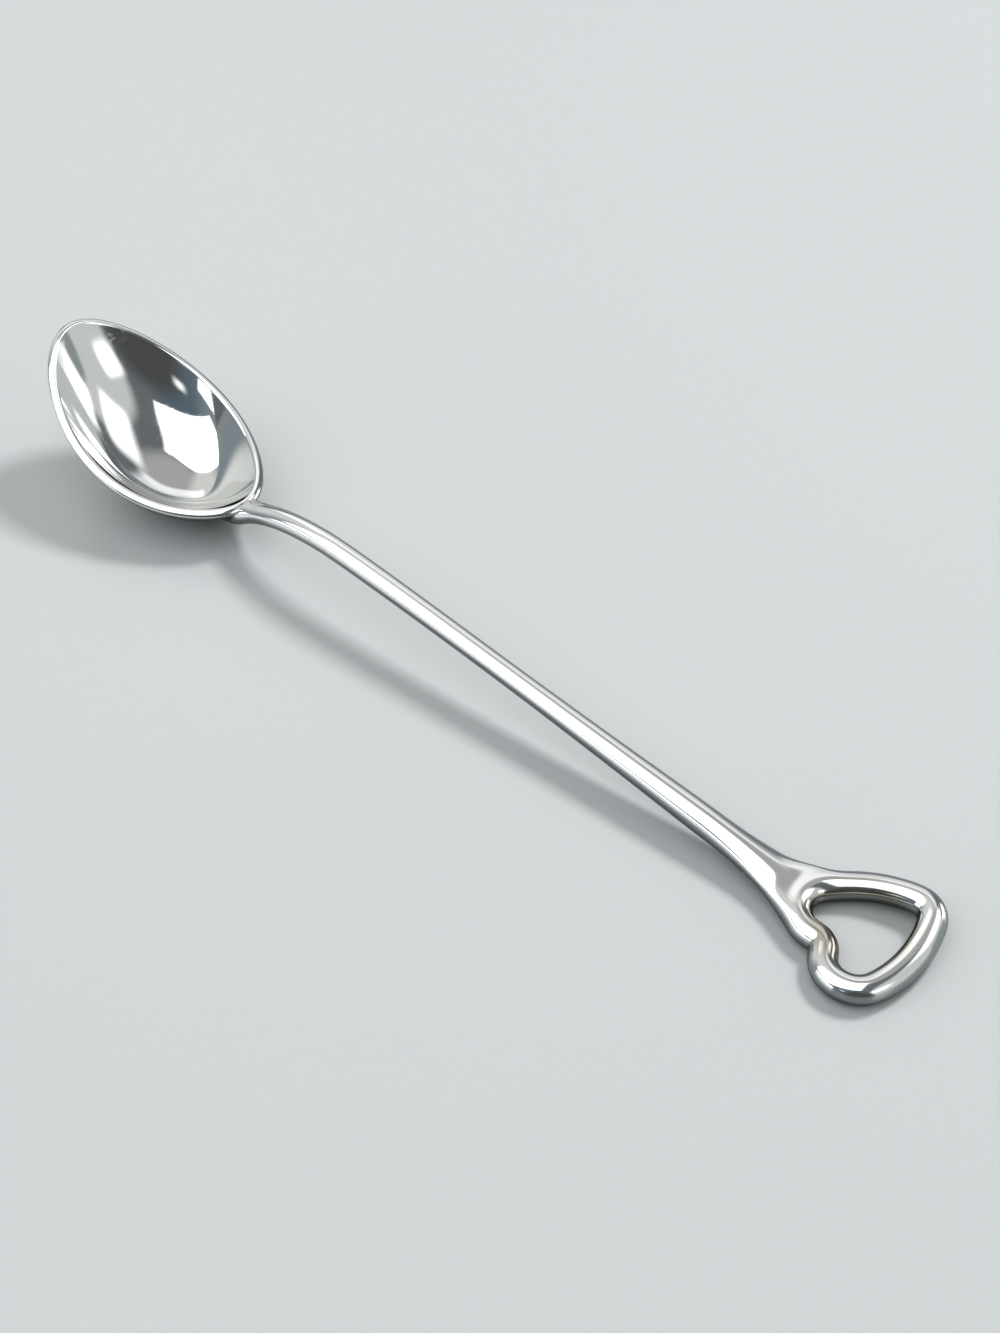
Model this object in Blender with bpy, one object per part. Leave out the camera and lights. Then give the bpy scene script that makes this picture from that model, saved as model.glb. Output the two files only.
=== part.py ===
"""Teaspoon of polished silver, in three pieces that are hard-soldered together.

Units are metres and +Z is up. The spoon lies on the plane Z = 0. X runs from the tip of the bowl to the loop,
Y runs across, and the origin is on that plane, under the middle of the overall length.

bowl  sheet silver sunk to an egg-shaped hollow, tilted so that its tip stands high
stem  forged rod: a heel under the bowl, a full neck, a round shaft and a flared, coped end
loop  round rod bent to a closed heart, flat underneath where it lies on the table
"""
import math

import bmesh
import bpy
from mathutils import Matrix, Vector

# Overall
OVERALL_LENGTH = 0.145      # outer edge of the bowl's tip to the far edge of the loop
SOLDER_GAP = 0.0003         # film of solder between two joined pieces

# Bowl, measured to the middle of its sheet, in the plane of its rim
BOWL_LENGTH = 0.0364        # tip to neck
BOWL_WIDTH = 0.0225
BOWL_DEPTH = 0.0072         # below the rim at the widest place
BOWL_GAUGE = 0.00135        # thickness of the sheet
BOWL_TILT = math.radians(20.4)
BOWL_DEEPEST = 0.0123       # from the neck back to the deepest place
RIM_SWEEP = 0.0029          # rise of the tip and the neck above the sides of the rim
RIM_SHIFT = 0.0018          # how far the widest place lies towards the neck
RIM_FULL_TIP = 0.10         # fuller towards the tip
RIM_POINT = 0.13            # pinched towards both ends
HOLLOW_FULLNESS = 2.8       # 2 is a parabola, more is flatter below and steeper at the wall
LIP_ROUND = 0.00045         # radius on the two edges of the lip
LIP_EDGE = math.radians(60)  # only edges sharper than this are rounded
BOWL_ROUGHNESS = 0.05

# Stem
ROUND = 2.0                 # squareness of a round section
HEEL_LENGTH = 0.0052        # how far the heel laps under the bowl
HEEL_TIP_WIDTH = 0.0022
HEEL_TIP_DEPTH = 0.0004     # below the bowl's outer face
NECK_WIDTH = 0.0032
NECK_HEIGHT = 0.00285
NECK_SQUARENESS = 2.6       # a little fuller than round
NECK_STAND = 0.00010        # how far the top of the neck stands over the lip
NECK_RISE = math.radians(27)
CREST_REACH = 0.0142        # along X from the lip to the top of the arch
CREST_RISE = 0.00315        # middle of the stem there, above its middle at the lip
CREST_EASE = 0.14           # share of the shaft's run over which the arch flattens out
CREST_THICKNESS = 0.0030
WAIST_THICKNESS = 0.0029
WAIST_REACH = 0.0300        # along X from the crest to the waist
SHAFT_SWELL = 1.6           # how late the shaft thickens past the waist, 1 is a straight taper
SHOULDER_THICKNESS = 0.0038  # where the flare starts
SHOULDER_HEIGHT = 0.00355   # middle of the stem there, above the table
FLARE_LENGTH = 0.0165
FLARE_WIDTH = 0.0085
FLARE_CURL = 2.5            # how late the flare opens, 1 is a straight taper
FLARE_SQUARENESS = 3.0
FLARE_SINK = 0.00025        # how far its faces lie inside the loop's rod, above and below

# Loop, measured to the middle of its rod
LOOP_ROD = 0.0036
LOOP_LENGTH = 0.0149        # across the lobes' crowns to the tip
LOBE_RADIUS = 0.00385
LOBE_SPACING = 0.0073       # between the two lobes' centres
CLEFT_RADIUS = 0.0023
FLANK_RADIUS = 0.0160
LOOP_TIP_RADIUS = 0.0030
LOOP_TIP_LIFT = 0.0007      # rise of the tip off the table
LOOP_TURN = math.radians(30)  # the second lobe is swung this far towards -Y
LOOP_LAND = 0.00015         # depth of the flat filed underneath
ROD_ROUGHNESS = 0.08        # stem and loop

# Facets
BOWL_RINGS = 12
BOWL_SEGMENTS = 48
LIP_FACETS = 3
SECTION_SIDES = 20
HEEL_STEPS = 7
ARCH_STEPS = 9
SHAFT_STEPS = 18
FLARE_STEPS = 10
ROD_SIDES = 16
ARC_STEP = 0.0009           # length of one straight facet along the loop

SILVER = (0.91, 0.90, 0.87)


def clear_scene():
    for item in list(bpy.data.objects):
        bpy.data.objects.remove(item, do_unlink=True)


def silver_material(name, roughness):
    material = bpy.data.materials.new(name)
    material.use_nodes = True
    shader = material.node_tree.nodes["Principled BSDF"]
    shader.inputs["Base Color"].default_value = (*SILVER, 1.0)
    shader.inputs["Metallic"].default_value = 1.0
    shader.inputs["Roughness"].default_value = roughness
    return material


def add_piece(name, mesh_builder, parent=None, roughness=ROD_ROUGHNESS):
    """Turn a filled bmesh into a named object with its own silver."""
    mesh = bpy.data.meshes.new(name)
    mesh_builder.to_mesh(mesh)
    mesh_builder.free()
    mesh.shade_smooth()
    piece = bpy.data.objects.new(name, mesh)
    piece.parent = parent
    piece.data.materials.append(silver_material(name + "_silver", roughness))
    bpy.context.scene.collection.objects.link(piece)
    return piece


def make_cutter(piece):
    piece.hide_render = True
    piece.display_type = "WIRE"


def cut(piece, cutter):
    modifier = piece.modifiers.new("cut_" + cutter.name, "BOOLEAN")
    modifier.operation = "DIFFERENCE"
    modifier.solver = "EXACT"
    modifier.object = cutter


def loft(sections, closed_path):
    """Skin a row of sections that all have the same number of points."""
    builder = bmesh.new()
    rows = [[builder.verts.new(point) for point in section] for section in sections]
    sides = len(rows[0])
    pairs = list(zip(rows, rows[1:]))
    if closed_path:
        pairs.append((rows[-1], rows[0]))
    for row, following in pairs:
        for side in range(sides):
            after = (side + 1) % sides
            builder.faces.new((row[side], row[after], following[after], following[side]))
    if not closed_path:
        builder.faces.new(rows[0])
        builder.faces.new(reversed(rows[-1]))
    bmesh.ops.recalc_face_normals(builder, faces=builder.faces)
    return builder


# Bowl

def rim_point(angle):
    """Middle of the lip, with angle 0 at the tip and pi at the neck, in the bowl's own frame."""
    lean = math.cos(angle)
    swing = math.sin(angle)
    along = BOWL_LENGTH * (1 - lean) / 2 + RIM_SHIFT * swing ** 2
    across = BOWL_WIDTH / 2 * swing * (1 + RIM_FULL_TIP * lean - RIM_POINT * lean ** 2)
    return Vector((along, across, RIM_SWEEP * lean ** 2))


def bowl_point(ring, angle):
    """Middle of the sheet, with ring 0 at the deepest place and 1 at the lip."""
    rim = rim_point(angle)
    deepest = BOWL_LENGTH - BOWL_DEEPEST
    along = deepest + ring * (rim.x - deepest)
    height = rim.z * ring ** 2 - BOWL_DEPTH * (1 - ring ** HOLLOW_FULLNESS)
    return Vector((along, ring * rim.y, height))


def bowl_down(ring, angle):
    """Unit normal of the sheet on its convex side."""
    step = 1e-4             # small share of the way out, and small turn, to either side
    out = bowl_point(ring + step, angle) - bowl_point(ring - step, angle)
    around = bowl_point(ring, angle + step) - bowl_point(ring, angle - step)
    normal = out.cross(around).normalized()
    return normal if normal.z < 0 else -normal


def bowl_back(ring, angle, distance):
    """Point at a distance from the middle of the sheet, on the convex side."""
    return bowl_point(ring, angle) + distance * bowl_down(ring, angle)


def bowl_angles():
    return [2 * math.pi * step / BOWL_SEGMENTS for step in range(BOWL_SEGMENTS)]


def bowl_rings():
    return [step / BOWL_RINGS for step in range(1, BOWL_RINGS + 1)]


def bowl_place():
    """Tilt the bowl and set it down with its back on the table and its tip at the end of the spoon."""
    tilt = Matrix.Rotation(BOWL_TILT, 4, "Y")
    back = [tilt @ bowl_back(ring, angle, BOWL_GAUGE / 2) for ring in bowl_rings() for angle in bowl_angles()]
    lowest = min(point.z for point in back)
    foremost = min(point.x for point in back)
    return Matrix.Translation((-OVERALL_LENGTH / 2 - foremost, 0, -lowest)) @ tilt


def polar_sheet(builder, distance):
    """Rings of quads round the deepest place, closed there by a fan; returns the outermost ring."""
    hub = builder.verts.new(bowl_point(0, 0) - Vector((0, 0, distance)))
    inner = None
    for ring in bowl_rings():
        row = [builder.verts.new(bowl_back(ring, angle, distance)) for angle in bowl_angles()]
        for side in range(BOWL_SEGMENTS):
            after = (side + 1) % BOWL_SEGMENTS
            if inner is None:
                builder.faces.new((hub, row[side], row[after]))
            else:
                builder.faces.new((inner[side], row[side], row[after], inner[after]))
        inner = row
    return inner


def build_bowl(place, parent):
    builder = bmesh.new()
    polar_sheet(builder, 0)
    bowl = add_piece("bowl", builder, parent, BOWL_ROUGHNESS)
    bowl.matrix_local = place
    wall = bowl.modifiers.new("gauge", "SOLIDIFY")
    wall.thickness = BOWL_GAUGE
    wall.offset = 0
    wall.use_even_offset = True
    lip = bowl.modifiers.new("lip", "BEVEL")
    lip.width = LIP_ROUND
    lip.segments = LIP_FACETS
    lip.limit_method = "ANGLE"
    lip.angle_limit = LIP_EDGE
    return bowl


def build_bowl_cutter(place):
    """Solid over the bowl's back, one film of solder outside it, for cutting the seat in the stem."""
    builder = bmesh.new()
    rim = polar_sheet(builder, BOWL_GAUGE / 2 + SOLDER_GAP)
    roof = Vector((0, 0, BOWL_DEPTH + RIM_SWEEP))
    top = [builder.verts.new(vertex.co + roof) for vertex in rim]
    for side in range(BOWL_SEGMENTS):
        after = (side + 1) % BOWL_SEGMENTS
        builder.faces.new((rim[side], top[side], top[after], rim[after]))
    builder.faces.new(top)
    bmesh.ops.recalc_face_normals(builder, faces=builder.faces)
    cutter = add_piece("bowl_seat_cutter", builder)
    cutter.matrix_local = place
    make_cutter(cutter)
    return cutter


# Loop

def circle_meet(centre_a, radius_a, centre_b, radius_b):
    """Left-hand crossing of two circles, going from a to b."""
    apart = centre_b - centre_a
    along = (apart.length_squared + radius_a ** 2 - radius_b ** 2) / (2 * apart.length)
    aside = math.sqrt(radius_a ** 2 - along ** 2)
    direction = apart.normalized()
    return centre_a + along * direction + aside * Vector((-direction.y, direction.x))


def bearing(centre, point):
    return math.atan2(point.y - centre.y, point.x - centre.x)


def arc_points(centre, radius, start, end):
    """Points from one bearing to another, without the last."""
    count = max(3, round(abs(end - start) * radius / ARC_STEP))
    turns = [start + (end - start) * step / count for step in range(count)]
    return [centre + radius * Vector((math.cos(turn), math.sin(turn))) for turn in turns]


def loop_path():
    """Closed heart of tangent arcs in the loop's own frame: first lobe's centre at 0, tip towards +Y."""
    half = LOBE_SPACING / 2
    lobe = Vector((half, 0))
    crown = LOOP_LENGTH - LOBE_RADIUS
    tip = Vector((0, crown - LOOP_TIP_RADIUS))
    cleft = Vector((0, -math.sqrt((LOBE_RADIUS + CLEFT_RADIUS) ** 2 - half ** 2)))
    flank = circle_meet(lobe, FLANK_RADIUS - LOBE_RADIUS, tip, FLANK_RADIUS - LOOP_TIP_RADIUS)
    tip_side = bearing(flank, tip)
    lobe_side = bearing(flank, lobe)
    cleft_side = bearing(lobe, cleft)
    half_path = arc_points(tip, LOOP_TIP_RADIUS, math.pi / 2, tip_side)
    half_path += arc_points(flank, FLANK_RADIUS, tip_side, lobe_side)
    half_path += arc_points(lobe, LOBE_RADIUS, lobe_side, cleft_side)
    half_path += arc_points(cleft, CLEFT_RADIUS, bearing(cleft, lobe), math.pi / 2)
    middle = cleft + Vector((0, CLEFT_RADIUS))
    other = [Vector((-point.x, point.y)) for point in reversed(half_path[1:])]
    return [point + lobe for point in half_path + [middle] + other]


def rod_sections(path, radius, floor=None):
    """Round sections along the loop; what would reach under the floor is filed flat."""
    sections = []
    count = len(path)
    crown = LOOP_LENGTH - LOBE_RADIUS
    for index, point in enumerate(path):
        direction = (path[(index + 1) % count] - path[index - 1]).normalized()
        aside = Vector((direction.y, -direction.x))
        lift = LOOP_TIP_LIFT * max(0.0, point.y / crown) ** 2
        section = []
        for side in range(ROD_SIDES):
            turn = 2 * math.pi * side / ROD_SIDES
            flat = point + radius * math.cos(turn) * aside
            height = rod_height() + lift + radius * math.sin(turn)
            if floor is not None:
                height = max(height, floor)
            section.append(Vector((flat.x, flat.y, height)))
        sections.append(section)
    return sections


def rod_height():
    return LOOP_ROD / 2 - LOOP_LAND


def loop_place():
    """Swing the loop and set its far edge at the end of the spoon, with the first lobe on the stem's line."""
    swing = Matrix.Rotation(-LOOP_TURN, 4, "Z")
    reach = max((swing @ point.to_3d()).x for point in loop_path()) + LOOP_ROD / 2
    return Matrix.Translation((OVERALL_LENGTH / 2 - reach, 0, 0)) @ swing


def build_loop(place, parent):
    loop = add_piece("loop", loft(rod_sections(loop_path(), LOOP_ROD / 2, floor=0.0), True), parent)
    loop.matrix_local = place
    return loop


def build_loop_cutter(place):
    cutter = add_piece("loop_cope_cutter", loft(rod_sections(loop_path(), LOOP_ROD / 2 + SOLDER_GAP), True))
    cutter.matrix_local = place
    make_cutter(cutter)
    return cutter


# Stem

def smooth_step(share):
    share = min(1.0, max(0.0, share))
    return share * share * (3 - 2 * share)


def shares(count):
    """Even steps from 0 to 1."""
    return [step / (count - 1) for step in range(count)]


def bezier(controls, count):
    """Points of a Bezier curve of any order, by blending between its controls until one point is left."""
    points = []
    for share in shares(count):
        row = list(controls)
        while len(row) > 1:
            row = [near.lerp(far, share) for near, far in zip(row, row[1:])]
        points.append(row[0])
    return points


def flare_height():
    return LOOP_ROD - 2 * FLARE_SINK


def stem_key_points(bowl_matrix, loop_matrix):
    """Neck, crest, shoulder and end of the stem's middle line, as points of the XZ plane."""
    lip = bowl_matrix @ bowl_back(1, math.pi, BOWL_GAUGE / 2 + SOLDER_GAP)
    lip_top = bowl_matrix @ bowl_back(1, math.pi, -BOWL_GAUGE / 2)
    up = Vector((-math.sin(NECK_RISE), 0, math.cos(NECK_RISE)))
    neck = Vector((lip.x, 0, lip_top.z + NECK_STAND)) - NECK_HEIGHT / 2 * up
    crest = Vector((lip.x + CREST_REACH, 0, neck.z + CREST_RISE))
    joint = loop_matrix @ Vector((0, 0, rod_height()))
    cope = math.sqrt((LOOP_ROD / 2 + SOLDER_GAP) ** 2 - (flare_height() / 2) ** 2)
    inside = cope / 2       # the end lies halfway into the cope, so that the cut leaves no sliver beyond the rod
    end = Vector((joint.x - LOBE_RADIUS + inside, 0, joint.z))
    shoulder = Vector((end.x - FLARE_LENGTH, 0, SHOULDER_HEIGHT))
    return neck, crest, shoulder, end


def heel_line(bowl_matrix, neck):
    """From the heel's tip, close under the bowl's back, out to the neck."""
    tip_ring = 1 - HEEL_LENGTH / BOWL_DEEPEST
    drop = neck - bowl_matrix @ bowl_back(1, math.pi, BOWL_GAUGE / 2)
    line = []
    for share in shares(HEEL_STEPS):
        ring = tip_ring + share * (1 - tip_ring)
        line.append(bowl_matrix @ bowl_back(ring, math.pi, BOWL_GAUGE / 2) + share ** 2 * drop)
    return line


def stem_line(bowl_matrix, neck, crest, shoulder, end):
    """Middle line of the stem from the heel to the loop."""
    rise = Vector((math.cos(NECK_RISE), 0, math.sin(NECK_RISE)))
    arch = neck + rise * (crest.z - neck.z) / math.sin(NECK_RISE)
    level = Vector((CREST_EASE * (shoulder.x - crest.x), 0, 0))
    fall = shoulder - crest - level
    dip = shoulder + fall * (end.x - shoulder.x) / (2 * fall.x)
    line = heel_line(bowl_matrix, neck)
    line += bezier([neck, arch, crest], ARCH_STEPS)[1:]
    line += bezier([crest, crest + level, shoulder - fall / 2, shoulder], SHAFT_STEPS)[1:]
    line += bezier([shoulder, dip, end], FLARE_STEPS)[1:]
    return line


def mix(share, near, far):
    return near + share * (far - near)


def stem_size(x, neck, crest, shoulder, end):
    """Width, height and squareness of the stem's section at a place along X, from the neck on."""
    waist_x = crest.x + WAIST_REACH
    if x <= crest.x:
        share = smooth_step((x - neck.x) / (crest.x - neck.x))
        width = mix(share, NECK_WIDTH, CREST_THICKNESS)
        height = mix(share, NECK_HEIGHT, CREST_THICKNESS)
        return width, height, mix(share, NECK_SQUARENESS, ROUND)
    if x <= waist_x:
        size = mix(smooth_step((x - crest.x) / WAIST_REACH), CREST_THICKNESS, WAIST_THICKNESS)
        return size, size, ROUND
    if x <= shoulder.x:
        share = (x - waist_x) / (shoulder.x - waist_x)
        size = mix(share ** SHAFT_SWELL, WAIST_THICKNESS, SHOULDER_THICKNESS)
        return size, size, ROUND
    share = (x - shoulder.x) / (end.x - shoulder.x)
    width = mix(share ** FLARE_CURL, SHOULDER_THICKNESS, FLARE_WIDTH)
    height = mix(smooth_step(share), SHOULDER_THICKNESS, flare_height())
    return width, height, mix(share, ROUND, FLARE_SQUARENESS)


def heel_size(x, heel, neck):
    """The heel thins and narrows from the neck to its tip."""
    share = smooth_step((x - heel.x) / (neck.x - heel.x))
    width = mix(share, HEEL_TIP_WIDTH, NECK_WIDTH)
    height = mix(share, 2 * (SOLDER_GAP + HEEL_TIP_DEPTH), NECK_HEIGHT)
    return width, height, mix(share, ROUND, NECK_SQUARENESS)


def oval(centre, direction, width, height, squareness):
    """Section across the stem: a superellipse, which is an ellipse at squareness 2."""
    up = Vector((-direction.z, 0, direction.x))
    section = []
    for side in range(SECTION_SIDES):
        turn = 2 * math.pi * side / SECTION_SIDES
        lean = math.cos(turn)
        rise = math.sin(turn)
        across = math.copysign(abs(lean) ** (2 / squareness), lean) * width / 2
        upward = math.copysign(abs(rise) ** (2 / squareness), rise) * height / 2
        section.append(centre + Vector((0, across, 0)) + upward * up)
    return section


def build_stem(bowl_matrix, loop_matrix, parent):
    keys = stem_key_points(bowl_matrix, loop_matrix)
    line = stem_line(bowl_matrix, *keys)
    heel = line[0]
    neck = keys[0]
    sections = []
    for index, point in enumerate(line):
        before = line[max(index - 1, 0)]
        after = line[min(index + 1, len(line) - 1)]
        if point.x < neck.x:
            size = heel_size(point.x, heel, neck)
        else:
            size = stem_size(point.x, *keys)
        sections.append(oval(point, (after - before).normalized(), *size))
    stem = add_piece("stem", loft(sections, False), parent)
    cut(stem, build_bowl_cutter(bowl_matrix))
    cut(stem, build_loop_cutter(loop_matrix))
    return stem


def main():
    clear_scene()
    spoon = bpy.data.objects.new("spoon", None)
    bpy.context.scene.collection.objects.link(spoon)
    bowl_matrix = bowl_place()
    loop_matrix = loop_place()
    build_bowl(bowl_matrix, spoon)
    build_loop(loop_matrix, spoon)
    build_stem(bowl_matrix, loop_matrix, spoon)


main()
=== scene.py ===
"""Teaspoon of polished sterling silver, lying on a pale table in soft studio light.

Units are metres. X runs from the tip of the bowl to the loop, Y runs across and +Z is up from the table.
"""
import math

import bmesh
import bpy
from mathutils import Matrix, Vector


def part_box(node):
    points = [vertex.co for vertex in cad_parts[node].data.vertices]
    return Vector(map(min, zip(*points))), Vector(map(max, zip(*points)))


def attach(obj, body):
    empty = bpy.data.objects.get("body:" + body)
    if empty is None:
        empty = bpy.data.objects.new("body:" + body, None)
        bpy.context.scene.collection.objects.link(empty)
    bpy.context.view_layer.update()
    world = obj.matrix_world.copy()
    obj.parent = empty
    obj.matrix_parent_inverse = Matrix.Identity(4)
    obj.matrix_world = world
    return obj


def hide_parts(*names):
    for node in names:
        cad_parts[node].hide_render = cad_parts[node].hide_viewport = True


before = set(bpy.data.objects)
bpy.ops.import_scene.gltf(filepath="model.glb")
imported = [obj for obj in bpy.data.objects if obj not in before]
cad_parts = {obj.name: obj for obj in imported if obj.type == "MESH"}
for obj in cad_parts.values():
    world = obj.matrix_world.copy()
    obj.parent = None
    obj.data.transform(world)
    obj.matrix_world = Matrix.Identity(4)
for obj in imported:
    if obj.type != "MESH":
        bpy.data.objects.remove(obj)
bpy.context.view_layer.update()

MM = 0.001

# Bowl, measured to the middle of its sheet, in the plane of its rim
BOWL_LENGTH = 36.4 * MM
BOWL_WIDTH = 22.5 * MM
BOWL_DEPTH = 7.2 * MM
BOWL_GAUGE = 1.35 * MM
BOWL_TILT = math.radians(20.4)
BOWL_DEEPEST = 12.3 * MM        # from the neck back to the deepest place
RIM_SWEEP = 2.9 * MM            # rise of the tip and the neck above the sides of the rim
RIM_SHIFT = 1.8 * MM            # how far the widest place lies towards the neck
RIM_FULL_TIP = 0.10             # fuller towards the tip
RIM_POINT = 0.13                # pinched towards both ends
HOLLOW_FULLNESS = 2.8           # 2 is a parabola, more is flatter below and steeper at the wall
LIP_ROUND = 0.56 * MM
LIP_STEPS = 5
LIP_EDGE = math.radians(60)     # only the lip's own edges are sharper than this
RIM_POINTS = 160
BOWL_RINGS = 44
BOWL_MERGE = BOWL_GAUGE / 100   # points nearer than this are one

# Stem, with its middle line in the plane Y = 0
HEEL_AND_NECK = (               # along X, underside, top and width, in millimetres
    (-45.8, 0.62, 1.35, 1.50),
    (-44.6, 0.70, 1.90, 2.05),
    (-43.0, 0.98, 2.45, 2.40),
    (-41.0, 1.70, 3.85, 2.75),
    (-39.4, 2.40, 5.55, 4.00),
    (-38.3, 3.00, 6.92, 4.60),
    (-37.3, 3.60, 7.12, 3.85),
    (-35.8, 4.57, 7.69, 3.28),
    (-33.8, 5.56, 8.49, 3.15),
    (-31.2, 6.47, 9.35, 3.10),
    (-27.5, 7.29, 10.20, 3.03),
)
CREST = Vector((-22.88, 0, 9.13)) * MM
SHOULDER = Vector((40.09, 0, 3.55)) * MM
STEM_END = Vector((56.59, 0, 1.65)) * MM
CREST_EASE = 0.14               # share of the shaft's run over which the arch flattens out
CREST_THICKNESS = 3.0 * MM
WAIST_THICKNESS = 2.9 * MM
WAIST_REACH = 30.0 * MM         # along X from the crest to the waist
SHAFT_SWELL = 1.6               # how late the shaft thickens past the waist
SHOULDER_THICKNESS = 3.8 * MM
FLARE_WIDTH = 8.5 * MM
FLARE_HEIGHT = 3.1 * MM
FLARE_CURL = 2.5                # how late the flare opens
FLARE_REACH = 0.76              # share of the flare's length that is drawn out before it meets the rod
SHAFT_SECTIONS = 14
FLARE_SECTIONS = 12
STEM_SIDES = 16

# Loop, measured to the middle of its rod
LOOP_ROD = 3.6 * MM
LOOP_LENGTH = 14.9 * MM         # across the lobes' crowns to the tip
LOBE_RADIUS = 3.85 * MM
LOBE_SPACING = 7.3 * MM
CLEFT_RADIUS = 2.3 * MM
FLANK_RADIUS = 16.0 * MM
LOOP_TIP_RADIUS = 3.0 * MM
LOOP_TIP_LIFT = 0.7 * MM
LOOP_TIP_HOLD = 0.6 * LOOP_ROD  # only the ring of points at the tip lies this near to it
LOOP_MERGE = LOOP_ROD / 1000    # points nearer than this are one
LOOP_TURN = math.radians(30)
LOOP_LAND = 0.15 * MM           # depth of the flat filed underneath
ROD_SIDES = 8
SEAT_ON_FLANK = math.radians(5)  # stretch of the first flank that the flare covers
SEAT_ON_LOBE = math.radians(90.5)
SEAT_START = 125                # degrees round the first lobe
SEAT_END = 228
SEAT_REACH = 2 * LOBE_RADIUS    # from the middle of the first lobe
SEAT_FACING = math.cos(math.radians(45))  # faces turned away from the lobe by less than this angle
SEAT_CORNER = LOOP_ROD / 4      # height of the seat's upper corner over the middle of the rod
SEAT_FILL = Vector((-0.125, 0, 0.25)) * MM  # where solder fills that corner out to
SMOOTHING = 3                   # rounds of subdivision on the handle

# Finish of the silver, with each share given in values of the noise, where a mark starts and where it is full
HAND_WAVE = 7.0 * MM            # from one low wave of the polishing to the next
HAND_WAVE_DEPTH = 0.04 * MM
HAIRLINE_LENGTH = 14.0 * MM
HAIRLINE_WIDTH = 0.25 * MM      # real ones are a tenth of this, too fine to show
HAIRLINE_DEPTH = 0.0006 * MM
HAIRLINE_SHARE = (0.58, 0.72)
HAIRLINE_DULLNESS = 0.05        # added roughness
SMEAR = 8.0 * MM
SMEAR_SHARE = (0.48, 0.75)
BUFFED_ROUGHNESS = (0.045, 0.11)  # clean and smeared
BUFFED_END = -40.0 * MM         # along X: the bowl is buffed to here
RUBBED_START = -30.0 * MM       # and the handle is only rubbed by hand from here on
RUBBED_DULLNESS = 0.05
SCUFF = 0.7 * MM
SCUFF_SHARE = (0.50, 0.62)
SCUFF_DULLNESS = 0.25
SCUFF_PLACE = Vector((-68.3, 5.2, 16.8)) * MM
SCUFF_REACH = 3.0 * MM
TARNISH_AND_PAINTED_REFLECTION_MIDDLE = Vector((63.6, 0.2, 2.2)) * MM
TARNISH_AND_PAINTED_REFLECTION_FULL = 5.4 * MM         # distance from the middle of the loop where it is full
TARNISH_AND_PAINTED_REFLECTION_EDGE = 7.4 * MM         # and where it ends, on the rod's inner side
SILVER = "#F4F5F4"
# brown of the tarnish inside the loop, which is also a painted warm reflection
TARNISH_AND_PAINTED_REFLECTION = "#8E7636"

# Table
TABLE_SIZE = 1.4
LACQUER_GRAIN = 0.8 * MM
LACQUER_ROUGHNESS = (0.25, 0.28)
SPRAY_RIPPLE = 2.5 * MM
SPRAY_DEPTH = 0.004 * MM
TABLE_TONES = ("#A9ACAD", "#ABAEAF")
PAINTED_SHADE_IN_REFLECTION = "#626869"      # painted shade: in reflections the table is dark beside the spoon
PAINTED_LIGHT_IN_REFLECTION = "#B2B4B3"     # painted light: in reflections the table is paler past the painted shade
PAINTED_SHADE_EDGES = (                  # direction in degrees, distance where the painted shade ends and where it is past
    (-138, 0.04, 0.20),
    (-27, 0.010, 0.045),
)

# Light
LAMP_POWER = 4                  # watts to the square metre for a brightness of 1
MIRRORINGS = (2.0, 3.0)         # ray depth in a first reflection and in a reflection of a reflection
SIDE_MIDDLE = 0.5               # share of a light's side
KEY_CENTRE = Vector((-0.219, -0.533, 0.716))
KEY_FACING = Vector((-0.197, -0.103, 0.975))
KEY_ALONG = Vector((0.761, 0.611, 0.218))
KEY_SIZE = (1.59, 0.945)
KEY_EDGE = 0.03
KEY_BRIGHTNESS = 1.3
KEY_ECHO = 0.08                 # share of the key light that is left in a reflection of a reflection
SOFTBOXES = (                   # name, azimuth and height in degrees, distance, size, brightness, soft edge
    ("front_panel", -30, 10.5, 1.2, (1.12, 0.29), 1.2, 0.08),
    ("right_softbox", 86, 26, 1.0, (0.58, 0.44), 1.2, 0.36),
    ("back_right_softbox", 149, 43, 1.0, (0.80, 0.58), 1.3, 0.30),
    ("back_right_panel", 159, 8, 1.0, (0.54, 0.50), 1.2, 0.30),
    ("back_left_softbox", -142, 34, 1.0, (1.15, 0.86), 0.45, 0.14),
    ("small_lamp", 13, 23, 1.2, (0.34, 0.18), 0.95, 0.48),
)
SHADOW_LAMP = ("shadow_lamp", 172, 52, 1.2, (0.27, 0.27), 50, 0.10)
ROOM = "#666A6E"
WALLS = (                       # azimuth, height, cosines of its edge and its full tone, colour
    (-22, 51, 0.55, 0.80, "#56656F"),
    (-160, 58, 0.90, 0.965, "#A6A7A6"),
    (-85, 40, 0.68, 0.88, "#D2D3D0"),
    (115, 15, 0.72, 0.82, "#C6CAC8"),
    (-40, 15, 0.70, 1.00, "#7E8890"),
    (138, 4, 0.97, 0.992, "#8A9294"),
    (42, 9, 0.80, 0.96, "#4A4B4B"),
)
BACKDROP = "#DFE1E2"

# Camera
CAMERA_AIM = Vector((3.67, 4.95, 0)) * MM
CAMERA_AZIMUTH = 41.72
CAMERA_HEIGHT = 47.06
CAMERA_DISTANCE = 286.2 * MM
CAMERA_FOCUS = 2200 / 1333      # focal length in heights of the picture
CAMERA_NEAR = 10 * MM           # nothing nearer is seen
FILM_HEIGHT = 36.0              # millimetres

# Sockets of a Mix node that mixes colours
MIX_A = 6
MIX_B = 7
MIX_RESULT = 2


def deselect():
    bpy.ops.object.select_all(action="DESELECT")


def edit(piece):
    deselect()
    piece.select_set(True)
    bpy.context.view_layer.objects.active = piece
    bpy.ops.object.mode_set(mode="EDIT")


def done_editing():
    bpy.ops.object.mode_set(mode="OBJECT")


def pick(piece, wanted):
    """Select the vertices that are wanted, and the edges and faces between them."""
    bpy.ops.mesh.select_all(action="DESELECT")
    cage = bmesh.from_edit_mesh(piece.data)
    for vertex in cage.verts:
        vertex.select = wanted(vertex)
    cage.select_flush_mode()
    bmesh.update_edit_mesh(piece.data)


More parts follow.
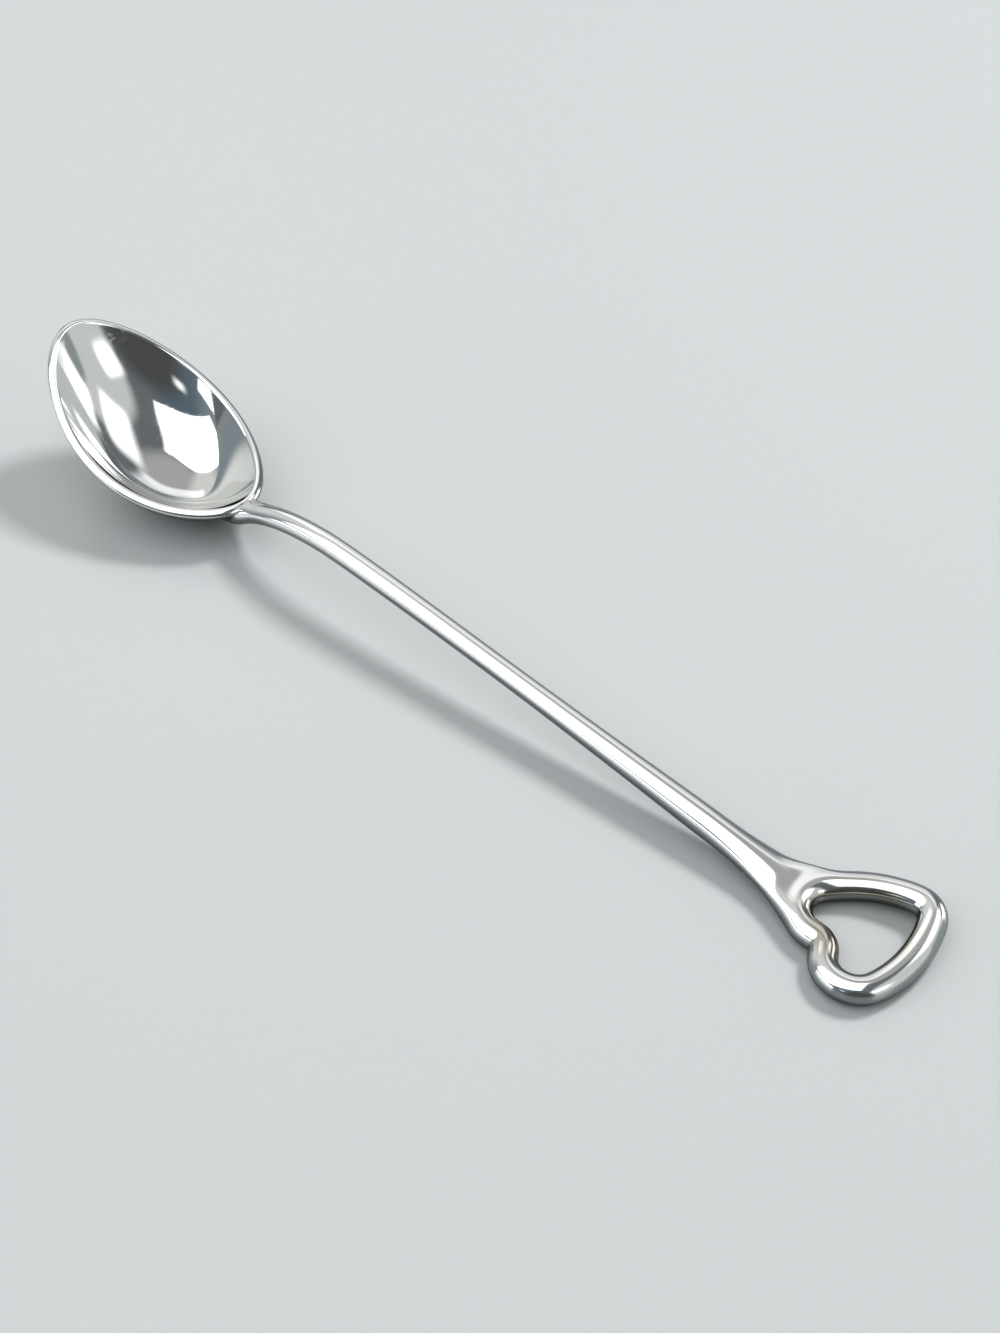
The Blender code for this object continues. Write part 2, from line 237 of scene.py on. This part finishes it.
def apply_modifiers(piece):
    deselect()
    piece.select_set(True)
    bpy.context.view_layer.objects.active = piece
    for modifier in list(piece.modifiers):
        bpy.ops.object.modifier_apply(modifier=modifier.name)


def mix(share, near, far):
    return near + share * (far - near)


def smooth_step(share):
    share = min(1.0, max(0.0, share))
    return share * share * (3 - 2 * share)


def smoothing_loss(sides):
    """What is left of the radius of a round cage once it is subdivided.

    Each point keeps four sixths of its own place and takes one sixth from either neighbour.
    """
    return (4 + 2 * math.cos(2 * math.pi / sides)) / 6


# Bowl

def rim_place(angle):
    """Middle of the lip, with angle 0 at the tip and pi at the neck."""
    lean = math.cos(angle)
    swing = math.sin(angle)
    along = BOWL_LENGTH * (1 - lean) / 2 + RIM_SHIFT * swing ** 2
    across = BOWL_WIDTH / 2 * swing * (1 + RIM_FULL_TIP * lean - RIM_POINT * lean ** 2)
    return Vector((along, across, RIM_SWEEP * lean ** 2))


def shape_rim(bowl, radius):
    """Pull a circle out to the egg-shaped rim, two opposite points at a time."""
    near = radius / RIM_POINTS
    for step in range(RIM_POINTS // 2 + 1):
        angle = 2 * math.pi * step / RIM_POINTS
        start = Vector((-radius * math.cos(angle), radius * math.sin(angle), -radius))
        mirrored = Vector((start.x, -start.y, start.z))
        goal = rim_place(angle)
        pick(bowl, lambda vertex: (vertex.co - start).length < near or (vertex.co - mirrored).length < near)
        if start.y > near:
            bpy.ops.transform.resize(value=(1, goal.y / start.y, 1), center_override=(0, 0, 0))
        bpy.ops.transform.translate(value=(goal.x - start.x, 0, goal.z - start.z))


def sink_level(ring):
    return -BOWL_DEPTH * (1 - ring ** HOLLOW_FULLNESS)


def sink(hub):
    """Draw the rim down and in, ring by ring, to the deepest place."""
    bpy.ops.mesh.select_all(action="SELECT")
    for step in range(BOWL_RINGS, 0, -1):
        outer = step / BOWL_RINGS
        inner = (step - 1) / BOWL_RINGS
        level = sink_level(outer)
        shrink = inner / outer
        bpy.ops.mesh.extrude_region_move(TRANSFORM_OT_translate={"value": (0, 0, 0)})
        bpy.ops.transform.resize(value=(shrink, shrink, shrink ** 2), center_override=(hub, 0, level))
        bpy.ops.transform.translate(value=(0, 0, sink_level(inner) - level))
    bpy.ops.mesh.remove_doubles(threshold=BOWL_MERGE)


def sunk_bowl():
    """Sheet sunk to an egg-shaped hollow, with a rounded lip."""
    deselect()
    radius = BOWL_LENGTH / 2
    bpy.ops.mesh.primitive_circle_add(vertices=RIM_POINTS, radius=radius, location=(0, 0, -radius))
    bowl = bpy.context.object
    bowl.name = "silver_bowl"
    bpy.ops.object.transform_apply(location=True, rotation=True, scale=True)
    edit(bowl)
    shape_rim(bowl, radius)
    sink(BOWL_LENGTH - BOWL_DEEPEST)
    bpy.ops.mesh.select_all(action="SELECT")
    bpy.ops.mesh.normals_make_consistent(inside=False)
    done_editing()
    wall = bowl.modifiers.new("gauge", "SOLIDIFY")
    wall.thickness = BOWL_GAUGE
    wall.offset = 0
    wall.use_even_offset = True
    lip = bowl.modifiers.new("lip", "BEVEL")
    lip.width = LIP_ROUND
    lip.segments = LIP_STEPS
    lip.limit_method = "ANGLE"
    lip.angle_limit = LIP_EDGE
    apply_modifiers(bowl)
    bowl.rotation_euler.y = BOWL_TILT
    bpy.ops.object.transform_apply(location=False, rotation=True, scale=False)
    seat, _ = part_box("bowl")
    places = [vertex.co for vertex in bowl.data.vertices]
    bowl.location.x = seat[0] - min(place.x for place in places)
    bowl.location.z = seat[2] - min(place.z for place in places)
    bpy.ops.object.transform_apply(location=True, rotation=False, scale=False)
    bpy.ops.object.shade_smooth()
    return bowl


# Stem

def bezier(controls, count):
    """Points of a Bezier curve of any order, by blending between its controls until one point is left."""
    points = []
    for step in range(count):
        row = list(controls)
        while len(row) > 1:
            row = [near.lerp(far, step / (count - 1)) for near, far in zip(row, row[1:])]
        points.append(row[0])
    return points


def shaft_line():
    """Middle line from the crest to where the flare is drawn out to the rod."""
    level = Vector((CREST_EASE * (SHOULDER.x - CREST.x), 0, 0))
    fall = SHOULDER - CREST - level
    dip = SHOULDER + fall * (STEM_END.x - SHOULDER.x) / (2 * fall.x)
    shaft = bezier([CREST, CREST + level, SHOULDER - fall / 2, SHOULDER], SHAFT_SECTIONS)
    flare = bezier([SHOULDER, dip, STEM_END], FLARE_SECTIONS)
    reach = mix(FLARE_REACH, SHOULDER.x, STEM_END.x)
    return shaft + [point for point in flare[1:] if point.x <= reach]


def shaft_size(x):
    """Width and height of the section at a place along X, from the crest on."""
    waist_x = CREST.x + WAIST_REACH
    if x <= waist_x:
        size = mix(smooth_step((x - CREST.x) / WAIST_REACH), CREST_THICKNESS, WAIST_THICKNESS)
        return size, size
    if x <= SHOULDER.x:
        share = (x - waist_x) / (SHOULDER.x - waist_x)
        size = mix(share ** SHAFT_SWELL, WAIST_THICKNESS, SHOULDER_THICKNESS)
        return size, size
    share = (x - SHOULDER.x) / (STEM_END.x - SHOULDER.x)
    width = mix(share ** FLARE_CURL, SHOULDER_THICKNESS, FLARE_WIDTH)
    return width, mix(smooth_step(share), SHOULDER_THICKNESS, FLARE_HEIGHT)


def stem_sections():
    """Middle, width and height of each upright section, from the heel's tip to the flare."""
    sections = []
    for along, under, top, width in HEEL_AND_NECK:
        sections.append((Vector((along, 0, (under + top) / 2)) * MM, width * MM, (top - under) * MM))
    line = shaft_line()
    for index, point in enumerate(line):
        before = line[max(index - 1, 0)]
        after = line[min(index + 1, len(line) - 1)]
        width, height = shaft_size(point.x)
        sections.append((point, width, height / (after - before).normalized().x))
    return sections


def drawn_stem():
    """Rod drawn out section by section, each one upright, from the heel to the flare."""
    radius = CREST_THICKNESS / 2
    cage = 1 / smoothing_loss(STEM_SIDES)
    deselect()
    bpy.ops.mesh.primitive_circle_add(vertices=STEM_SIDES, radius=radius, rotation=(0, math.pi / 2, 0))
    stem = bpy.context.object
    bpy.ops.object.transform_apply(location=True, rotation=True, scale=True)
    edit(stem)
    bpy.ops.mesh.select_all(action="SELECT")
    bpy.ops.mesh.edge_face_add()
    place = Vector((0, 0, 0))
    last_width = last_height = CREST_THICKNESS / cage
    for index, (middle, width, height) in enumerate(stem_sections()):
        if index == 0:
            bpy.ops.transform.translate(value=middle - place)
        else:
            bpy.ops.mesh.extrude_region_move(TRANSFORM_OT_translate={"value": middle - place})
        growth = (1, width / last_width, height / last_height)
        bpy.ops.transform.resize(value=growth, center_override=middle)
        place, last_width, last_height = middle, width, height
    bpy.ops.mesh.delete(type="ONLY_FACE")
    done_editing()
    return stem


# Loop

def circle_meet(centre_a, radius_a, centre_b, radius_b):
    """Left-hand crossing of two circles, going from a to b."""
    apart = centre_b - centre_a
    along = (apart.length_squared + radius_a ** 2 - radius_b ** 2) / (2 * apart.length)
    aside = math.sqrt(radius_a ** 2 - along ** 2)
    direction = apart.normalized()
    return centre_a + along * direction + aside * Vector((-direction.y, direction.x))


def bearing(centre, point):
    return math.atan2(point.y - centre.y, point.x - centre.x)


def bent_loop():
    """Round rod bent arc by arc round a plain heart, from the middle of the tip round to it again."""
    half = LOBE_SPACING / 2
    quarter = math.pi / 2
    right = Vector((half, 0))
    left = Vector((-half, 0))
    crown = LOOP_LENGTH - LOBE_RADIUS
    tip = Vector((0, crown - LOOP_TIP_RADIUS))
    cleft = Vector((0, -math.sqrt((LOBE_RADIUS + CLEFT_RADIUS) ** 2 - half ** 2)))
    flank = circle_meet(right, FLANK_RADIUS - LOBE_RADIUS, tip, FLANK_RADIUS - LOOP_TIP_RADIUS)
    other_flank = Vector((-flank.x, flank.y))
    tip_turn = quarter - bearing(flank, tip)
    flank_turn = bearing(flank, tip) - bearing(flank, right)
    lobe_turn = bearing(flank, right) - bearing(right, cleft)
    cleft_turn = 2 * (quarter - bearing(cleft, right))
    bends = (                   # centre, turn and steps
        (tip, tip_turn, 3),
        (other_flank, flank_turn - SEAT_ON_FLANK, 7),
        (other_flank, SEAT_ON_FLANK, 1),
        (left, SEAT_ON_LOBE, 5),
        (left, lobe_turn - SEAT_ON_LOBE, 3),
        (cleft, -cleft_turn, 6),
        (right, lobe_turn, 9),
        (flank, flank_turn, 8),
        (tip, tip_turn, 3),
    )
    seat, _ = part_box("loop")
    first_lobe = Vector((seat[0] + LOBE_RADIUS + LOOP_ROD / 2, 0, LOOP_ROD / 2 - LOOP_LAND))
    swing = Matrix.Translation(first_lobe) @ Matrix.Rotation(-LOOP_TURN, 4, "Z")
    swing = swing @ Matrix.Translation(-left.to_3d())
    tip_place = swing @ Vector((0, crown, 0))
    deselect()
    bpy.ops.mesh.primitive_circle_add(
        vertices=ROD_SIDES,
        radius=LOOP_ROD / 2 / smoothing_loss(ROD_SIDES),
        location=tip_place,
        rotation=(quarter, 0, quarter - LOOP_TURN),
    )
    loop = bpy.context.object
    bpy.ops.object.transform_apply(location=True, rotation=True, scale=True)
    edit(loop)
    bpy.ops.mesh.select_all(action="SELECT")
    for centre, turn, steps in bends:
        bpy.ops.mesh.spin(steps=steps, angle=-turn, center=swing @ centre.to_3d(), axis=(0, 0, 1))
    bpy.ops.mesh.select_all(action="SELECT")
    bpy.ops.mesh.remove_doubles(threshold=LOOP_MERGE)
    pick(loop, lambda vertex: (vertex.co - tip_place).length < LOOP_TIP_HOLD)
    bpy.ops.transform.translate(
        value=(0, 0, LOOP_TIP_LIFT),
        use_proportional_edit=True,
        proportional_edit_falloff="SMOOTH",
        proportional_size=crown,
    )
    open_seat(loop, first_lobe)
    done_editing()
    return loop


def open_seat(loop, first_lobe):
    """Take away the outer side of the rod where the flare runs into it, and fill the corner above."""
    bpy.ops.mesh.select_mode(type="FACE")
    bpy.ops.mesh.select_all(action="DESELECT")
    cage = bmesh.from_edit_mesh(loop.data)
    for face in cage.faces:
        away = face.calc_center_median() - first_lobe
        turn = math.degrees(math.atan2(away.y, away.x)) % 360
        outer = face.normal.xy.dot(away.xy.normalized()) > SEAT_FACING
        face.select = outer and SEAT_START < turn < SEAT_END and away.xy.length < SEAT_REACH
    bmesh.update_edit_mesh(loop.data)
    bpy.ops.mesh.delete(type="FACE")
    bpy.ops.mesh.select_mode(type="VERT")
    pick(loop, lambda vertex: vertex.is_boundary and vertex.co.z > first_lobe.z + SEAT_CORNER)
    bpy.ops.transform.translate(value=SEAT_FILL)


def joined_handle():
    """Stem and loop run into one another, as the soldered and filed joint does."""
    stem = drawn_stem()
    loop = bent_loop()
    deselect()
    stem.select_set(True)
    loop.select_set(True)
    bpy.context.view_layer.objects.active = stem
    bpy.ops.object.join()
    handle = bpy.context.object
    handle.name = "silver_handle"
    edit(handle)
    pick(handle, lambda vertex: vertex.is_boundary)
    bpy.ops.mesh.bridge_edge_loops()
    bpy.ops.mesh.select_all(action="SELECT")
    bpy.ops.mesh.normals_make_consistent(inside=False)
    done_editing()
    smooth = handle.modifiers.new("smooth", "SUBSURF")
    smooth.levels = SMOOTHING
    smooth.render_levels = SMOOTHING
    apply_modifiers(handle)
    edit(handle)
    pick(handle, lambda vertex: vertex.co.z < 0)
    bpy.ops.transform.resize(value=(1, 1, 0), center_override=(0, 0, 0))
    done_editing()
    bpy.ops.object.shade_smooth()
    return handle


# Finish

def linear(hex_colour):
    """Linear colour from the usual six-digit one."""
    colour = []
    for start in (1, 3, 5):
        part = int(hex_colour[start:start + 2], 16) / 255
        colour.append(part / 12.92 if part <= 0.04045 else ((part + 0.055) / 1.055) ** 2.4)
    return (*colour, 1.0)


def add_node(tree, kind, inputs=None, **settings):
    """Add a node with its settings, and link or set its inputs, each given by its name or number."""
    node = tree.nodes.new(kind)
    for name, value in settings.items():
        setattr(node, name, value)
    for key, value in (inputs or {}).items():
        if isinstance(value, bpy.types.NodeSocket):
            tree.links.new(value, node.inputs[key])
        else:
            node.inputs[key].default_value = value
    return node


def polished_silver():
    """Sterling silver, filed smooth and buffed by hand to a mirror.

    The eye gets near-mirror reflections whose edges waver where the hand pressed more, with hairlines
    along the buffing, duller smears that the cloth left, scuffs from use near the tip, and brown
    tarnish inside the loop, where the cloth doesn't reach, which also serves as a painted warm reflection
    there.
    """
    material = bpy.data.materials.new("hand_polished_sterling_silver")
    material.use_nodes = True
    tree = material.node_tree
    shader = tree.nodes["Principled BSDF"]
    shader.inputs["Metallic"].default_value = 1.0
    place = add_node(tree, "ShaderNodeTexCoord").outputs["Object"]

    # The file and the buff leave long low waves
    waves = add_node(tree, "ShaderNodeTexNoise", {"Vector": place, "Scale": 1 / HAND_WAVE, "Detail": 1.0})
    wavy = add_node(tree, "ShaderNodeBump", {"Height": waves.outputs[0], "Distance": HAND_WAVE_DEPTH})

    # Hairlines run with the length of the spoon
    stretch = (1 / HAIRLINE_LENGTH, 1 / HAIRLINE_WIDTH, 1 / HAIRLINE_WIDTH)
    along = add_node(tree, "ShaderNodeMapping", {"Vector": place, "Scale": stretch})
    lines = add_node(tree, "ShaderNodeTexNoise", {"Vector": along.outputs[0], "Scale": 1.0, "Detail": 2.0})
    hairs = add_node(tree, "ShaderNodeMapRange", {
        "Value": lines.outputs[0], "From Min": HAIRLINE_SHARE[0], "From Max": HAIRLINE_SHARE[1],
    }, interpolation_type="SMOOTHSTEP")
    scratched = add_node(tree, "ShaderNodeBump", {
        "Height": hairs.outputs[0], "Distance": HAIRLINE_DEPTH, "Normal": wavy.outputs[0],
    }, invert=True)
    tree.links.new(scratched.outputs[0], shader.inputs["Normal"])

    # Smears of polish and finger marks are a little duller, and so are the hairlines
    cloud = add_node(tree, "ShaderNodeTexNoise", {
        "Vector": place, "Scale": 1 / SMEAR, "Detail": 4.0, "Roughness": 0.6, "Distortion": 1.2,
    })
    smears = add_node(tree, "ShaderNodeMapRange", {
        "Value": cloud.outputs[0],
        "From Min": SMEAR_SHARE[0],
        "From Max": SMEAR_SHARE[1],
        "To Min": BUFFED_ROUGHNESS[0],
        "To Max": BUFFED_ROUGHNESS[1],
    }, interpolation_type="SMOOTHSTEP")
    dull = add_node(tree, "ShaderNodeMath", {
        0: hairs.outputs[0], 1: HAIRLINE_DULLNESS, 2: smears.outputs[0],
    }, operation="MULTIPLY_ADD")

    # The handle is rubbed by hand along its length, and keeps a softer shine than the buffed bowl
    lengthwise = add_node(tree, "ShaderNodeSeparateXYZ", {"Vector": place})
    rubbed = add_node(tree, "ShaderNodeMapRange", {
        "Value": lengthwise.outputs["X"],
        "From Min": BUFFED_END,
        "From Max": RUBBED_START,
        "To Max": RUBBED_DULLNESS,
    }, interpolation_type="SMOOTHSTEP")
    softer = add_node(tree, "ShaderNodeMath", {0: rubbed.outputs[0], 1: dull.outputs[0]}, operation="ADD")

    # Use has scuffed the hollow near its tip
    from_scuff = add_node(tree, "ShaderNodeVectorMath", {0: place, 1: SCUFF_PLACE}, operation="DISTANCE")
    worn = add_node(tree, "ShaderNodeMapRange", {
        "Value": from_scuff.outputs["Value"], "From Min": SCUFF_REACH, "From Max": 0.0,
    }, interpolation_type="SMOOTHSTEP")
    specks = add_node(tree, "ShaderNodeTexNoise", {"Vector": place, "Scale": 1 / SCUFF, "Detail": 3.0})
    marks = add_node(tree, "ShaderNodeMapRange", {
        "Value": specks.outputs[0],
        "From Min": SCUFF_SHARE[0],
        "From Max": SCUFF_SHARE[1],
        "To Max": SCUFF_DULLNESS,
    }, interpolation_type="SMOOTHSTEP")
    scuffed = add_node(tree, "ShaderNodeMath", {
        0: worn.outputs[0], 1: marks.outputs[0], 2: softer.outputs[0],
    }, operation="MULTIPLY_ADD")
    tree.links.new(scuffed.outputs[0], shader.inputs["Roughness"])

    # Tarnish stays inside the loop, and a painted warm reflection is laid there with it
    from_loop = add_node(tree, "ShaderNodeVectorMath", {0: place, 1: TARNISH_AND_PAINTED_REFLECTION_MIDDLE}, operation="DISTANCE")
    inside = add_node(tree, "ShaderNodeMapRange", {
        "Value": from_loop.outputs["Value"], "From Min": TARNISH_AND_PAINTED_REFLECTION_EDGE, "From Max": TARNISH_AND_PAINTED_REFLECTION_FULL,
    }, interpolation_type="SMOOTHSTEP")
    patchy_tarnish_and_reflection = add_node(tree, "ShaderNodeMath", {
        0: inside.outputs[0], 1: cloud.outputs[0],
    }, operation="MULTIPLY")
    # Painted reflection as well as tarnish: this brown is partly a warm reflection painted into the colour
    tarnish_and_reflection_tint = add_node(tree, "ShaderNodeMix", {
        "Factor": patchy_tarnish_and_reflection.outputs[0], MIX_A: linear(SILVER), MIX_B: linear(TARNISH_AND_PAINTED_REFLECTION),
    }, data_type="RGBA")
    tree.links.new(tarnish_and_reflection_tint.outputs[MIX_RESULT], shader.inputs["Base Color"])
    return material


def satin_lacquer():
    """Sprayed lacquer, rubbed to satin: pale, with a soft sheen, a fine grain and a faint spray ripple.

    In reflections alone the table gets a painted shade beside the spoon, as dark card held along the spoon
    would give, and a painted light further off, so that the edges of the spoon stand out.
    """
    material = bpy.data.materials.new("rubbed_satin_lacquer")
    material.use_nodes = True
    tree = material.node_tree
    shader = tree.nodes["Principled BSDF"]
    place = add_node(tree, "ShaderNodeTexCoord").outputs["Object"]
    grain = add_node(tree, "ShaderNodeTexNoise", {
        "Vector": place, "Scale": 1 / LACQUER_GRAIN, "Detail": 3.0,
    })
    pale = add_node(tree, "ShaderNodeMix", {
        "Factor": grain.outputs[0], MIX_A: linear(TABLE_TONES[0]), MIX_B: linear(TABLE_TONES[1]),
    }, data_type="RGBA")
    # Painted shade beside the spoon and painted light past it, both seen only in reflections
    painted_light_share = 0.0
    for azimuth, start, full in PAINTED_SHADE_EDGES:
        reach = add_node(tree, "ShaderNodeVectorMath", {
            0: place, 1: toward(azimuth, 0),
        }, operation="DOT_PRODUCT")
        past = add_node(tree, "ShaderNodeMapRange", {
            "Value": reach.outputs["Value"], "From Min": start, "From Max": full,
        }, interpolation_type="SMOOTHSTEP")
        either = add_node(tree, "ShaderNodeMath", {0: painted_light_share, 1: past.outputs[0]}, operation="MAXIMUM")
        painted_light_share = either.outputs[0]
    painted_reflection_tone = add_node(tree, "ShaderNodeMix", {
        "Factor": painted_light_share, MIX_A: linear(PAINTED_SHADE_IN_REFLECTION), MIX_B: linear(PAINTED_LIGHT_IN_REFLECTION),
    }, data_type="RGBA")
    # Only reflections get the painted shade and light; the eye sees the plain pale table
    ray = add_node(tree, "ShaderNodeLightPath")
    tone = add_node(tree, "ShaderNodeMix", {
        "Factor": ray.outputs["Is Glossy Ray"],
        MIX_A: pale.outputs[MIX_RESULT],
        MIX_B: painted_reflection_tone.outputs[MIX_RESULT],
    }, data_type="RGBA")
    tree.links.new(tone.outputs[MIX_RESULT], shader.inputs["Base Color"])
    sheen = add_node(tree, "ShaderNodeMapRange", {
        "Value": grain.outputs[0], "To Min": LACQUER_ROUGHNESS[0], "To Max": LACQUER_ROUGHNESS[1],
    })
    tree.links.new(sheen.outputs[0], shader.inputs["Roughness"])
    spray = add_node(tree, "ShaderNodeTexNoise", {
        "Vector": place, "Scale": 1 / SPRAY_RIPPLE, "Detail": 1.0,
    })
    ripple = add_node(tree, "ShaderNodeBump", {"Height": spray.outputs[0], "Distance": SPRAY_DEPTH})
    tree.links.new(ripple.outputs[0], shader.inputs["Normal"])
    return material


def pale_table():
    deselect()
    bpy.ops.mesh.primitive_plane_add(size=TABLE_SIZE)
    table = bpy.context.object
    table.name = "table"
    table.data.materials.append(satin_lacquer())


# Studio

def toward(azimuth, height):
    """Unit direction from the spoon, in degrees, with azimuth 0 towards -Y and 90 towards +X."""
    azimuth, height = math.radians(azimuth), math.radians(height)
    return Vector((
        math.sin(azimuth) * math.cos(height),
        -math.cos(azimuth) * math.cos(height),
        math.sin(height),
    ))


def softbox(name, centre, facing, along, size, brightness, edge, echo=1.0):
    """Rectangular light with its first side along a direction, fading at its edge and in later mirrorings."""
    data = bpy.data.lights.new(name, "AREA")
    data.shape = "RECTANGLE"
    data.size, data.size_y = size
    data.energy = brightness * size[0] * size[1] * LAMP_POWER
    data.use_nodes = True
    tree = data.node_tree
    spot = add_node(tree, "ShaderNodeNewGeometry")
    sides = add_node(tree, "ShaderNodeSeparateXYZ", {"Vector": spot.outputs["Parametric"]})
    ray = add_node(tree, "ShaderNodeLightPath")
    strength = add_node(tree, "ShaderNodeMapRange", {
        "Value": ray.outputs["Ray Depth"],
        "From Min": MIRRORINGS[0],
        "From Max": MIRRORINGS[1],
        "To Min": 1.0,
        "To Max": echo,
    })
    for axis in "XY":
        off = add_node(tree, "ShaderNodeMath", {0: sides.outputs[axis], 1: SIDE_MIDDLE}, operation="SUBTRACT")
        far = add_node(tree, "ShaderNodeMath", {0: off.outputs[0]}, operation="ABSOLUTE")
        fade = add_node(tree, "ShaderNodeMapRange", {
            "Value": far.outputs[0], "From Min": SIDE_MIDDLE, "From Max": SIDE_MIDDLE - edge,
        }, interpolation_type="SMOOTHSTEP")
        strength = add_node(tree, "ShaderNodeMath", {
            0: strength.outputs[0], 1: fade.outputs[0],
        }, operation="MULTIPLY")
    tree.links.new(strength.outputs[0], tree.nodes["Emission"].inputs["Strength"])
    light = bpy.data.objects.new(name, data)
    back = facing.normalized()
    first = (along - along.dot(back) * back).normalized()
    second = back.cross(first)
    light.matrix_world = Matrix.Translation(centre) @ Matrix((first, second, back)).transposed().to_4x4()
    light.visible_camera = False
    bpy.context.scene.collection.objects.link(light)
    return light


def round_the_spoon(name, azimuth, height, distance, size, brightness, edge):
    """Light that faces the spoon, level along its first side."""
    away = toward(azimuth, height)
    return softbox(name, away * distance, away, Vector((0, 0, 1)).cross(away), size, brightness, edge)


def room():
    """Dark room with paler walls, and a pale backdrop behind the table."""
    world = bpy.data.worlds.new("studio")
    world.use_nodes = True
    tree = world.node_tree
    spot = add_node(tree, "ShaderNodeTexCoord")
    colour = linear(ROOM)
    for azimuth, height, start, full, tone in WALLS:
        lean = add_node(tree, "ShaderNodeVectorMath", {
            0: spot.outputs["Generated"], 1: toward(azimuth, height),
        }, operation="DOT_PRODUCT")
        share = add_node(tree, "ShaderNodeMapRange", {
            "Value": lean.outputs["Value"], "From Min": start, "From Max": full,
        }, interpolation_type="SMOOTHSTEP")
        wall = add_node(tree, "ShaderNodeMix", {
            "Factor": share.outputs[0], MIX_A: colour, MIX_B: linear(tone),
        }, data_type="RGBA")
        colour = wall.outputs[MIX_RESULT]
    ray = add_node(tree, "ShaderNodeLightPath")
    seen = add_node(tree, "ShaderNodeMix", {
        "Factor": ray.outputs["Is Camera Ray"], MIX_A: colour, MIX_B: linear(BACKDROP),
    }, data_type="RGBA")
    tree.links.new(seen.outputs[MIX_RESULT], tree.nodes["Background"].inputs["Color"])
    bpy.context.scene.world = world


def studio():
    room()
    softbox("key_softbox", KEY_CENTRE, KEY_FACING, KEY_ALONG, KEY_SIZE, KEY_BRIGHTNESS, KEY_EDGE, KEY_ECHO)
    for light in SOFTBOXES:
        round_the_spoon(*light)
    lamp = round_the_spoon(*SHADOW_LAMP)
    lamp.visible_glossy = False


def camera():
    data = bpy.data.cameras.new("camera")
    data.sensor_fit = "VERTICAL"
    data.sensor_height = FILM_HEIGHT
    data.lens = CAMERA_FOCUS * FILM_HEIGHT
    data.clip_start = CAMERA_NEAR
    eye = bpy.data.objects.new("camera", data)
    away = toward(CAMERA_AZIMUTH, CAMERA_HEIGHT)
    eye.location = CAMERA_AIM + CAMERA_DISTANCE * away
    eye.rotation_euler = away.to_track_quat("Z", "Y").to_euler()
    bpy.context.scene.collection.objects.link(eye)
    bpy.context.scene.camera = eye


def finish_piece(piece, silver, *nodes):
    piece.data.materials.clear()
    piece.data.materials.append(silver)
    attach(piece, "root")
    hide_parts(*nodes)


silver = polished_silver()
finish_piece(sunk_bowl(), silver, "bowl")
finish_piece(joined_handle(), silver, "stem", "loop")
pale_table()
studio()
camera()
bpy.context.scene.view_settings.view_transform = "Standard"
